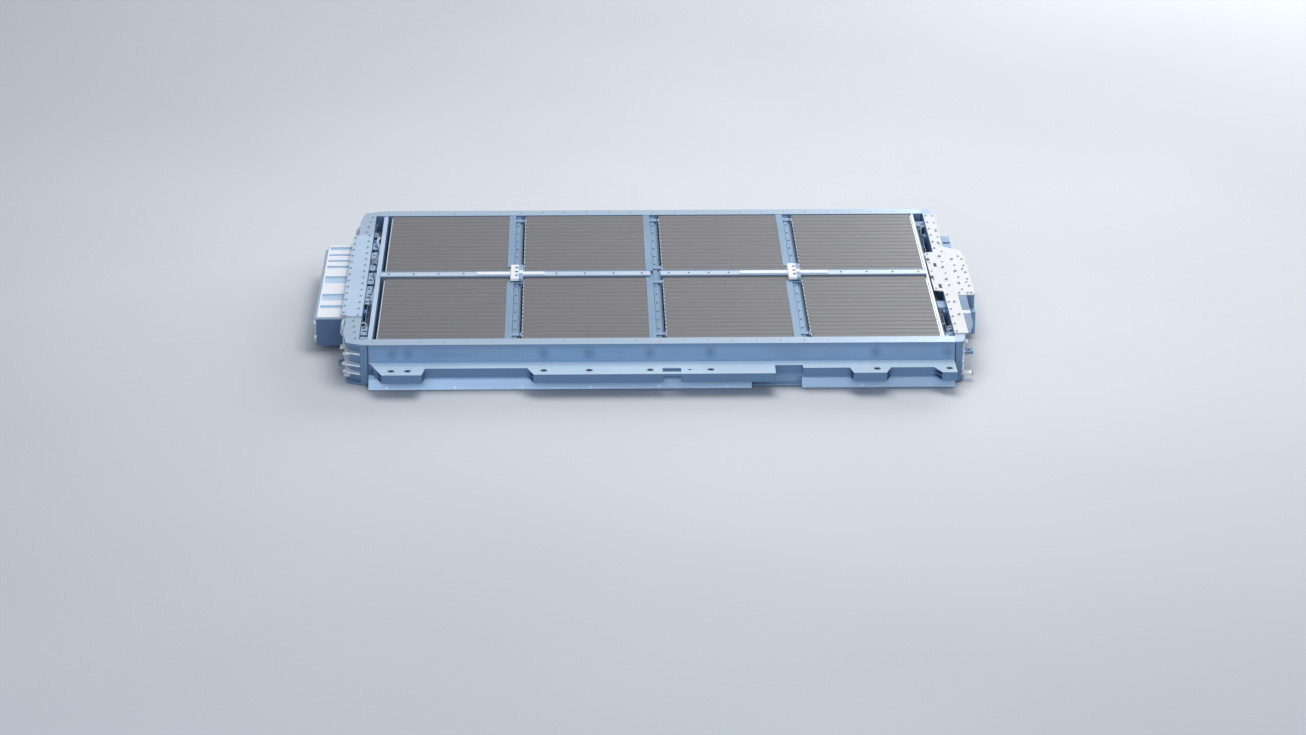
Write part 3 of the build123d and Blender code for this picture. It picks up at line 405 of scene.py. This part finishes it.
# %% [markdown]
# ## Finishes for the CAD nodes
#
# The CAD pieces keep their shape and only receive a material, chosen by the node's name.


# %% Assign the finishes
CHOICES = [
    ("cell_stack", "film"),
    ("contact_strips", "busbar"),
    ("thermal_pads", "pad"),
    ("bottom_guard", "stone_guard"),
    ("floor_plate", "extrusion"),
    ("right_sill", "extrusion"),
    ("left_sill", "extrusion"),
    ("centre_beam", "strap"),
    ("cross_beam", "cross_extrusion"),
    ("nose_beam", "cross_extrusion"),
    ("tail_beam", "cross_extrusion"),
    ("nose_end_plate", "bracket"),
    ("tail_end_plate", "cover"),
    ("nose_right_corner", "corner_casting"),
    ("nose_left_corner", "corner_casting"),
    ("tail_right_corner", "corner_casting"),
    ("tail_left_corner", "corner_casting"),
    ("mount_sleeves", "phosphated"),
    ("centre_sleeves", "zinc"),
    ("centre_bracket", "hub"),
    ("service_box_lid", "ribbed_lid"),
    ("service_box", "enamel"),
    ("nose_box", "casting"),
    ("nose_cover", "nose_cover"),
    ("service_side_plate", "cover"),
    ("tail_cover", "cover"),
    ("drive_connector", "pale_plastic"),
    ("charge_connector", "pale_plastic"),
    ("signal_connector", "grey_plastic"),
]
for node_name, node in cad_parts.items():
    chosen = next((f for start, f in CHOICES if node_name.startswith(start)), "casting")
    node.data.materials.clear()
    node.data.materials.append(finishes[chosen])
print("finished", len(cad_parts), "nodes")

# %% [markdown]
# ## Tools for the small pieces
#
# A `Kit` collects many small solids of one material in one mesh. Points are in millimetres,
# which suits the sizes here, and become metres when the mesh is made.


# %% Collect small solids into one mesh
class Kit:
    def __init__(self, name, finish, slot):
        self.name, self.finish, self.slot = name, finish, slot
        self.mesh = bmesh.new()

    def slab(self, low, high, bevel=0.0, segments=2):
        """A box between two corners, with rounded edges."""
        size = [h - l for l, h in zip(low, high)]
        centre = Vector([(l + h) / 2 for l, h in zip(low, high)])
        made = bmesh.ops.create_cube(self.mesh, size=1.0)["verts"]
        bmesh.ops.scale(self.mesh, vec=size, verts=made)
        bmesh.ops.translate(self.mesh, vec=centre, verts=made)
        if bevel:
            edges = list({e for v in made for e in v.link_edges})
            bmesh.ops.bevel(
                self.mesh,
                geom=edges,
                offset=bevel,
                segments=segments,
                affect="EDGES",
                profile=0.5,
                material=-1,
            )

    def disc(self, centre, axis, radius, height, sides=16, top=None):
        """A cylinder or cone that stands on centre and grows along axis."""
        turn = Vector((0, 0, 1)).rotation_difference(Vector(axis)).to_matrix().to_4x4()
        place = Matrix.Translation(Vector(centre) + Vector(axis) * height / 2) @ turn
        bmesh.ops.create_cone(
            self.mesh,
            cap_ends=True,
            segments=sides,
            radius1=radius,
            radius2=radius if top is None else top,
            depth=height,
            matrix=place,
        )

    def bolt(self, centre, axis=(0, 0, 1), size=6.0, sink=0.0):
        """A flanged hexagon head on a surface; sink hides a little of it in the surface."""
        start = Vector(centre) - Vector(axis) * (0.4 + sink)
        self.disc(start, axis, size, 0.4 + 0.2 * size, 20, top=size * 0.92)
        self.disc(start, axis, size * 0.66, 0.4 + 0.72 * size, 6, top=size * 0.62)

    def sweep(self, points, radius, sides=10):
        """A round tube along a smooth path through the points."""
        path = smooth(points)
        rings = []
        normal = Vector((0, 0, 1))
        for place, point in enumerate(path):
            ahead = path[min(place + 1, len(path) - 1)] - path[max(place - 1, 0)]
            ahead.normalize()
            if abs(ahead.dot(normal)) > 0.95:
                normal = Vector((0, 1, 0))
            side = ahead.cross(normal).normalized()
            normal = side.cross(ahead).normalized()
            ring = []
            for step in range(sides):
                angle = 2 * math.pi * step / sides
                outward = side * math.cos(angle) + normal * math.sin(angle)
                ring.append(self.mesh.verts.new(point + outward * radius))
            rings.append(ring)
        for one, two in zip(rings, rings[1:]):
            for step in range(sides):
                nxt = (step + 1) % sides
                self.mesh.faces.new((one[step], one[nxt], two[nxt], two[step]))
        self.mesh.faces.new(rings[0][::-1])
        self.mesh.faces.new(rings[-1])

    def finish_up(self, smooth_angle=35.0):
        bmesh.ops.scale(self.mesh, vec=(MM, MM, MM), verts=self.mesh.verts)
        bmesh.ops.recalc_face_normals(self.mesh, faces=self.mesh.faces)
        data = bpy.data.meshes.new(self.name)
        for face in self.mesh.faces:
            face.smooth = True
        self.mesh.to_mesh(data)
        self.mesh.free()
        data.set_sharp_from_angle(angle=math.radians(smooth_angle))
        data.materials.append(finishes[self.finish])
        piece = bpy.data.objects.new(self.name, data)
        bpy.context.scene.collection.objects.link(piece)
        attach(piece, "root")
        print(self.name, len(data.polygons), "faces")
        return piece


def smooth(points, steps=5):
    """Catmull-Rom points through the given ones."""
    pts = [Vector(p) for p in points]
    pts = [pts[0] * 2 - pts[1], *pts, pts[-1] * 2 - pts[-2]]
    out = []
    for a, b, c, d in zip(pts, pts[1:], pts[2:], pts[3:]):
        for step in range(steps):
            t = step / steps
            squared = (2 * a - 5 * b + 4 * c - d) * t * t
            cubed = (3 * b - a - 3 * c + d) * t**3
            out.append(0.5 * ((2 * b) + (c - a) * t + squared + cubed))
    out.append(pts[-2])
    return out


def corners(node):
    """A CAD node's box, in millimetres."""
    low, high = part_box(node)
    return low / MM, high / MM


sill_low, sill_high = corners("right_sill")
seat_top = sill_high.z
print("lid seat at", round(seat_top, 2), "mm")

# %% [markdown]
# ## Rivet nuts of the lid
#
# The lid would be screwed down along both sills. Its rivet nuts sit in the seat: a thin bright
# collar, 0.6 mm proud, with a near-black disc inside that stands in for the shade in its hole.

# %% Rivet nuts along the sills
SILL_IN, SILL_OUT = 611.4, 664.4
NUTS_PER_SILL, FIRST_NUT_X, NUT_PITCH = 25, -915, 76.5
collars = Kit("lid_rivet_nuts", "zinc", "steel")
# Near-black discs stand in for the shadow inside each nut's hole.
nut_hole_shades = Kit("lid_rivet_hole_shades", "rubber", "steel")
sill_middle = (SILL_IN + SILL_OUT) / 2
nuts = []
for side in (-1, 1):
    for step in range(NUTS_PER_SILL):
        nuts.append((FIRST_NUT_X + step * NUT_PITCH, side * sill_middle))
nose_low, nose_high = corners("nose_beam")
tail_low, tail_high = corners("tail_beam")
for x, y in nuts:
    collars.disc((x, y, seat_top - 0.5), (0, 0, 1), 6.5, 1.1, 20, top=6.0)
    nut_hole_shades.disc((x, y, seat_top - 0.4), (0, 0, 1), 3.4, 1.05, 16)
collars.finish_up()
nut_hole_shades.finish_up()

# %% [markdown]
# ## Screws of the covers and beams
#
# Rows of flanged screws hold the covers, the cross beams and the centre beam. Each is a wide
# flange with a hexagon on it, a little sunk so that no gap shows. One mesh carries those of the
# covers and a second one those of the beams.

# %% Screws in rows
cover_top = corners("nose_cover")[1].z
tail_cover_top = corners("tail_cover")[1].z
beam_top = corners("cross_beam_2")[1].z
strap_top = corners("centre_beam_2")[1].z
bracket_top = corners("centre_bracket_1")[1].z
screws = Kit("cover_screws", "steel_grey", "steel")
small_screws = Kit("beam_screws", "cross_extrusion", "steel")


def row(kit, start, end, count, size):
    """Evenly spaced screws between two points, both included."""
    for step in range(count):
        share = step / max(count - 1, 1)
        kit.bolt([a + (b - a) * share for a, b in zip(start, end)], size=size)


nose_edge = nose_high.x
row(screws, (nose_edge - 30, 232, cover_top), (nose_edge - 30, 575, cover_top), 6, 5.0)
row(screws, (nose_edge - 30, -575, cover_top), (nose_edge - 30, -232, cover_top), 6, 5.0)
row(screws, (nose_edge - 8, 200, cover_top), (nose_edge - 8, 575, cover_top), 6, 4.0)
row(screws, (nose_edge - 60, -170, cover_top), (nose_edge - 60, 170, cover_top), 5, 4.0)
row(screws, (nose_edge + 52, -212, cover_top), (nose_edge + 52, 120, cover_top), 6, 5.0)
row(screws, (nose_edge + 12, -215, cover_top), (nose_edge + 40, -215, cover_top), 2, 5.0)
tail_edge = tail_low.x
row(screws, (tail_edge - 9, -370, tail_cover_top), (tail_edge - 9, 370, tail_cover_top), 13, 5.0)
row(screws, (tail_edge + 38, -395, tail_cover_top), (tail_edge + 38, 395, tail_cover_top), 14, 5.0)
for side in (-1, 1):
    row(screws, (tail_edge + 26, side * 440, seat_top), (tail_edge + 40, side * 600, seat_top), 4, 5.0)
beams = [sum(corners(f"cross_beam_{n}")[k].x for k in (0, 1)) / 2 for n in (1, 2, 3)]
for beam_x in beams:
    for side in (-1, 1):
        row(small_screws, (beam_x, side * 108, beam_top), (beam_x, side * 592, beam_top), 7, 4.0)
for start, end in ((-890, -640), (-330, -45), (45, 245), (620, 880)):
    row(small_screws, (start, 0, strap_top), (end, 0, strap_top), 4, 4.0)
for hub_x in (beams[0], beams[2]):
    for side in (-1, 1):
        screws.bolt((hub_x, side * 38, bracket_top), size=6.0)
for x, y, size in (
    (963, 150, 6.5), (968, 95, 4.0), (965, 40, 6.5), (969, -20, 4.0), (966, -80, 6.5), (970, -140, 5.0),
    (1002, 120, 6.0), (1006, 60, 4.5), (1003, 0, 6.0), (1008, -60, 4.5), (1004, -120, 6.0), (1009, -180, 4.5),
    (1026, 150, 4.5), (1028, 20, 5.0), (1030, -110, 4.5),
    (972, -300, 6.0), (976, -420, 6.0), (972, 290, 6.0), (975, 410, 5.0),
):
    screws.bolt((x, y, cover_top), size=size)
screws.finish_up()
small_screws.finish_up()

# %% [markdown]
# ## Terminal caps and sensing boards in the channels
#
# Between two stacks lie the cells' ends. A small cap covers the terminal of each cell, on the
# carrier's upper edge. A thin guard lies along the tail side of each channel and a dark seal on
# the beam. A flat circuit strip with tiny parts belongs to each half of a beam. They lie
# below the beam's top face, inside its metal, so they hardly show.

# %% Caps and sensing strips
CELLS_PER_STACK = 16
CHIPS_PER_STRIP = 16
strip_top = corners("contact_strips_1")[1].z
caps = Kit("terminal_caps", "grey_plastic", "plastic")
strips = Kit("sensing_strips", "blue_plastic", "plastic")
chips = Kit("sensing_chips", "dark_plastic", "plastic")
random.seed(4)
stack_faces = [corners(f"cell_stack_{n}") for n in range(1, 9)]
for low, high in stack_faces:
    for face, out in ((low.x, -1), (high.x, 1)):
        if abs(face) > 850:
            continue
        near, far = sorted((face + out * 0.2, face + out * 3.2))
        for step in range(CELLS_PER_STACK):
            y = low.y + (step + 0.5) * (high.y - low.y) / CELLS_PER_STACK
            caps.slab((near, y - 6, strip_top - 0.3), (far, y + 6, strip_top + 1.6), 0.5, 1)
cell_top = stack_faces[0][1].z
guards = Kit("terminal_guards", "cross_extrusion", "cover")
seals = Kit("channel_seals", "dark_plastic", "plastic")
for beam_x in beams:
    for side in (-1, 1):
        y0, y1 = sorted((side * 96, side * 600))
        hub = 30 if beam_x == beams[1] else 75
        g0, g1 = sorted((side * hub, side * 610))
        guards.slab((beam_x - 32, g0, cell_top + 0.1), (beam_x - 9, g1, cell_top + 1.3), 0.4, 1)
        seals.slab((beam_x + 14.5, y0, beam_top + 0.2), (beam_x + 17.5, y1, beam_top + 3.2), 0.4, 1)
        strips.slab((beam_x + 1.4, y0, beam_top - 4.2), (beam_x + 7.6, y1, beam_top - 2.4), 0.3, 1)
        for step in range(CHIPS_PER_STRIP):
            y = y0 + 18 + step * (y1 - y0 - 36) / (CHIPS_PER_STRIP - 1)
            width = random.choice((3.0, 4.5, 6.0))
            chip_low = (beam_x + 2.5, y - width, beam_top - 2.5)
            chips.slab(chip_low, (beam_x + 6.5, y + width, beam_top - 0.7), 0.2, 1)
caps.finish_up()
guards.finish_up()
seals.finish_up()
strips.finish_up()
chips.finish_up()

# %% [markdown]
# ## Wiring in the two bays
#
# The harness runs in the ducts along the end plates. Short branches drop from it to square
# plugs on the end beams, and two orange power cables run along the tail beam. Each is a tube
# swept along a smooth curve. The photograph shows only bright and dark specks here, so the
# bridges, grommets and hoses that give those specks are a guess.

# %% Harness and its connectors
tail_duct_low, tail_duct_high = corners("tail_cable_duct")
nose_duct_low, nose_duct_high = corners("nose_cable_duct")
wires = Kit("bay_wiring", "slate_sleeve", "plastic")
power = Kit("bay_power_cables", "orange_sleeve", "plastic")
plugs = Kit("bay_plugs", "blue_plastic", "plastic")
clips = Kit("bay_clips", "blue_plastic", "plastic")
for duct_low, duct_high in ((tail_duct_low, tail_duct_high), (nose_duct_low, nose_duct_high)):
    middle = (duct_low.x + duct_high.x) / 2
    floor_z = duct_low.z + 2
    for wire in range(5):
        points = []
        for step in range(15):
            y = duct_low.y + 6 + step * (duct_high.y - duct_low.y - 12) / 14
            points.append(
                (
                    middle + random.uniform(-4.5, 4.5),
                    y,
                    floor_z + 5 + wire * 3.2 + random.uniform(-1, 1),
                )
            )
        wires.sweep(points, 2.6, 8)
    for step in range(12):
        y = duct_low.y + 40 + step * (duct_high.y - duct_low.y - 80) / 11
        clip_low = (duct_low.x - 0.2, y - 4, duct_high.z - 0.6)
        clips.slab(clip_low, (duct_high.x + 0.2, y + 4, duct_high.z + 1.6), 0.5, 1)
        if step % 2:
            continue
        out = -1 if middle < 0 else 1
        wall = tail_high.x if out < 0 else nose_low.x
        plugs.slab(
            (min(wall, wall - out * 11), y + 12, 84), (max(wall, wall - out * 11), y + 44, 112), 2.0, 2
        )
        wires.sweep(
            [(middle, y, duct_high.z - 3), (middle + out * 4, y + 6, duct_high.z + 4),
             (wall - out * 12, y + 20, 108), (wall - out * 6, y + 27, 100)], 3.0, 8
        )
for wire in range(2):
    x = tail_high.x + 5 + wire * 1.0
    power.sweep(
        [(x, -330 + wire * 8, 60), (x, -300, 74 + 9 * wire), (x, 0, 76 + 9 * wire),
         (x, 300, 74 + 9 * wire), (x, 330, 60)], 4.5, 12
    )
bridges = Kit("bay_bridges", "cover", "bracket")
grommets = Kit("bay_grommets", "rubber", "plastic")
hoses = Kit("bay_hoses", "pale_plastic", "plastic")
tail_x = (tail_duct_low.x - 0.3, tail_high.x + 0.3)
TAIL_BRIDGES = (
    (-596, -520), (-505, -424), (-214, -196), (-186, -40), (-18, 92), (118, 168), (236, 300), (330, 396),
)
for y0, y1 in TAIL_BRIDGES:
    bridges.slab((tail_x[1] - 0.6, y0, 110.3), (tail_x[0] + 22.8, y1, 113.0), 0.8, 2)
TAIL_GROMMETS = (
    (-545, 5), (-470, 4), (-441, 6), (-152, 6.5), (-120, 4), (-70, 4),
    (19, 6.5), (62, 4), (150, 3.5), (268, 4), (360, 4),
)
for y, radius in TAIL_GROMMETS:
    grommets.disc((tail_x[1] + 8, y, 112.2), (0, 0, 1), radius, 1.4, 12)
for y in (175, 190, 206, 222):
    hoses.sweep(
        [(tail_x[1] + 2, y, 104), (tail_x[1] + 9, y + 5, 116), (tail_x[0] + 14, y - 4, 116),
         (tail_x[0] + 19, y, 104)], 2.6, 8
    )
hoses.sweep(
    [(-934, 300, 104), (-936, 330, 118), (-945, 372, 122), (-941, 410, 124), (-934, 425, 118),
     (-934, 436, 104)], 4.5, 12
)
for y in (-415, 445, 470):
    hoses.sweep(
        [(tail_x[1] - 1, y, 120), (tail_x[1] + 8, y + 6, 118), (tail_x[1] + 16, y, 108),
         (tail_x[1] + 20, y - 8, 96)], 3.2, 8
    )
for side in (-1, 1):
    hoses.sweep(
        [(-1006, side * 400, 122), (-1017, side * 413, 128), (-1020, side * 438, 121),
         (-1018, side * 450, 108), (-1009, side * 455, 98)], 6.0, 12
    )
    hoses.sweep(
        [(-1008, side * 480, 97), (-1017, side * 482, 108), (-1019, side * 489, 122),
         (-1012, side * 496, 132), (-1004, side * 497, 137)], 6.0, 12
    )
nose_x = (nose_duct_high.x - 0.2, nose_low.x - 0.3)
for y0, y1 in ((-285, -222), (-560, -520), (222, 262), (540, 590)):
    bridges.slab((nose_x[0] - 19.5, y0, 110.3), (nose_x[1], y1, 113.0), 6.0, 4)
for y in (-540, -500, -478, 560, 520):
    hoses.sweep(
        [(nose_x[0] + 2, y, 100), (nose_x[0] + 4, y + 5, 116), (nose_x[1] - 1, y + 8, 118),
         (nose_x[1] + 4, y + 8, 123)], 3.4, 8
    )
cover_slot = cover_top - 0.3
for x, y, half in ((941, 62, 17), (940, -147, 19), (922, 118, 12), (921, -60, 14)):
    grommets.slab((x - 5, y - half, cover_slot), (x + 5, y + half, cover_slot + 1.0), 0.4, 1)
bridges.finish_up()
grommets.finish_up()
hoses.finish_up()
wires.finish_up()
power.finish_up()
plugs.finish_up()
clips.finish_up()

# %% [markdown]
# ## Screws of the boxes, the guard plate and the corners
#
# Small screws hold the service box's lid, slanting ones the edge of the guard plate, and larger
# ones the end beams. Round bosses with six-sided heads stand at the corners and on the side
# plate. A small tab stands low beside each nose corner, near the lug in the photograph.

# %% Small outer fasteners
outer = Kit("outer_screws", "zinc", "steel")
bosses = Kit("corner_bosses", "bracket", "bracket")
plate_low, plate_high = corners("service_side_plate")
for y in (plate_low.y - 6, plate_high.y + 6):
    for z in (51, 99):
        bosses.disc((plate_high.x + 0.4, y, z), (-1, 0, 0), 8.0, 5.0, 20)
        bosses.disc((plate_high.x, y, z), (-1, 0, 0), 6.6, 8.6, 6)
lid_low, lid_high = corners("service_box_lid")
for y in (-345, -222, -80, 80, 222, 345):
    outer.bolt((lid_low.x + 4.6, y, lid_high.z - 1.5), (0, 0, 1), 3.0)
for side in (-1, 1):
    for step in range(9):
        x = -868 + step * 216.0
        if 285 < x < 458:
            continue
        slope = Vector((0, side * 44, 21)).normalized()
        outer.bolt((x, side * (711.4 - 3.1), 9.5), slope, 3.2)
for side in (-1, 1):
    for x in (tail_low.x + 14, nose_high.x - 14):
        for z in (48, 90):
            end = -1 if x < 0 else 1
            outer.bolt((x - end * 6 + end * 20, side * 470, z), (end, 0, 0), 7.0)
for side in (-1, 1):
    for z, reach in ((88, 1007), (54, 1011), (28, 1009), (14, 1006)):
        bosses.disc((-986, side * 604, z), (-1, 0, 0), 7.0, reach - 986, 16)
        bosses.disc((-986, side * 604, z), (-1, 0, 0), 4.6, reach - 982, 6)
    for z in (52, 86, 118):
        bosses.disc((960, side * 628, z), (1, 0, 0), 4.5, 14, 12)
    y0, y1 = sorted((side * 634, side * 662))
    bosses.slab((962, y0, 24), (1003, y1, 29), 1.2, 2)
    bosses.slab((998, y0, 20), (1003, y1, 29), 1.2, 2)
    bosses.disc((984, side * 648, 28.6), (0, 0, 1), 5.5, 1.2, 16)
bosses.finish_up()
outer.finish_up()

# %% [markdown]
# ## Brackets at the corners
#
# Small bent brackets for the wiring of the car stand on the end beams beside the corners. The
# photograph shows only bright specks there, so their shape is a guess.

# %% Corner brackets
small = Kit("corner_brackets", "bracket", "bracket")
for side in (-1, 1):
    y0, y1 = sorted((side * 505, side * 540))
    low_x = tail_low.x
    small.slab((low_x - 3.0, y0, 78), (low_x + 0.5, y1, 132), 0.8, 2)
    small.slab((low_x - 14.0, y0, 78), (low_x - 2.0, y1, 81.5), 0.8, 2)
    high_x = nose_high.x
    small.slab((high_x - 0.5, y0, 84), (high_x + 3.0, y1, 122), 0.8, 2)
    small.slab((high_x + 2.0, y0, 84), (high_x + 12.0, y1, 87.5), 0.8, 2)
small.finish_up()

# %% [markdown]
# ## Floor, light and camera
#
# A pale floor, four area lamps and a pale world stand in for a studio. The camera's lens, place
# and angle were fitted to the corners and edges of the tray in the photograph.

# %% Studio
LENS = 105.246
AZIMUTH, ELEVATION, ROLL = (math.radians(a) for a in (-1.224, 20.985, 0.102))
DISTANCE, SHIFT_RIGHT, SHIFT_UP = 12.80504, -0.007789, -0.185222

back = Vector(
    (
        math.sin(AZIMUTH) * math.cos(ELEVATION),
        -math.cos(AZIMUTH) * math.cos(ELEVATION),
        math.sin(ELEVATION),
    )
)
right = Vector((math.cos(AZIMUTH), math.sin(AZIMUTH), 0))
up = back.cross(right)
right_turned = right * math.cos(ROLL) + up * math.sin(ROLL)
up_turned = up * math.cos(ROLL) - right * math.sin(ROLL)
camera_data = bpy.data.cameras.new("camera")
camera_data.lens = LENS
camera_data.clip_end = 100
camera = bpy.data.objects.new("camera", camera_data)
bpy.context.scene.collection.objects.link(camera)
turn = Matrix((right_turned, up_turned, back)).transposed().to_4x4()
camera.matrix_world = (
    Matrix.Translation(back * DISTANCE + right_turned * SHIFT_RIGHT + up_turned * SHIFT_UP) @ turn
)
bpy.context.scene.camera = camera

floor_data = bpy.data.meshes.new("floor")
sheet = bmesh.new()
bmesh.ops.create_grid(sheet, x_segments=1, y_segments=1, size=40)
sheet.to_mesh(floor_data)
sheet.free()
floor = bpy.data.objects.new("floor", floor_data)
floor.location.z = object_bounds()[0].z - 0.0002
bpy.context.scene.collection.objects.link(floor)
ground = Finish("ground", roughness=0.7, specular=0.2)
ground.feed("Base Color", ground.noise(0.6, 2.0).ramp(0.3, 0.7).tint((0.66, 0.67, 0.69), (0.70, 0.71, 0.73)))
floor_data.materials.append(ground.material)


def lamp(name, place, target, size, power, colour=(1, 1, 1)):
    data = bpy.data.lights.new(name, "AREA")
    data.shape = "RECTANGLE"
    data.size, data.size_y = size
    data.energy = power
    data.color = colour
    thing = bpy.data.objects.new(name, data)
    thing.location = place
    thing.rotation_euler = (Vector(target) - Vector(place)).to_track_quat("-Z", "Y").to_euler()
    bpy.context.scene.collection.objects.link(thing)
    return thing


lamp("key", (0.4, 0.2, 3.6), (0.1, 0, 0), (3.4, 2.0), 85, (1.0, 1.0, 1.0))
lamp("fill", (-1.5, -6.5, 2.6), (0, 0, 0), (7.0, 2.5), 105, (0.78, 0.88, 1.0))
lamp("back", (2.0, 6.6, 3.0), (0.4, 0, 0.1), (13.0, 3.4), 90, (0.97, 0.985, 1.0))
lamp("rim", (5.0, 6.5, 3.0), (0.4, 0, 0.1), (8.0, 3.4), 400, (0.97, 0.985, 1.0))
world = bpy.data.worlds.new("world")
world.use_nodes = True
world.node_tree.nodes["Background"].inputs["Color"].default_value = (0.72, 0.79, 0.90, 1)
world.node_tree.nodes["Background"].inputs["Strength"].default_value = 0.42
bpy.context.scene.world = world
bpy.context.scene.view_settings.view_transform = "Standard"

# %% [markdown]
# ## Size
#
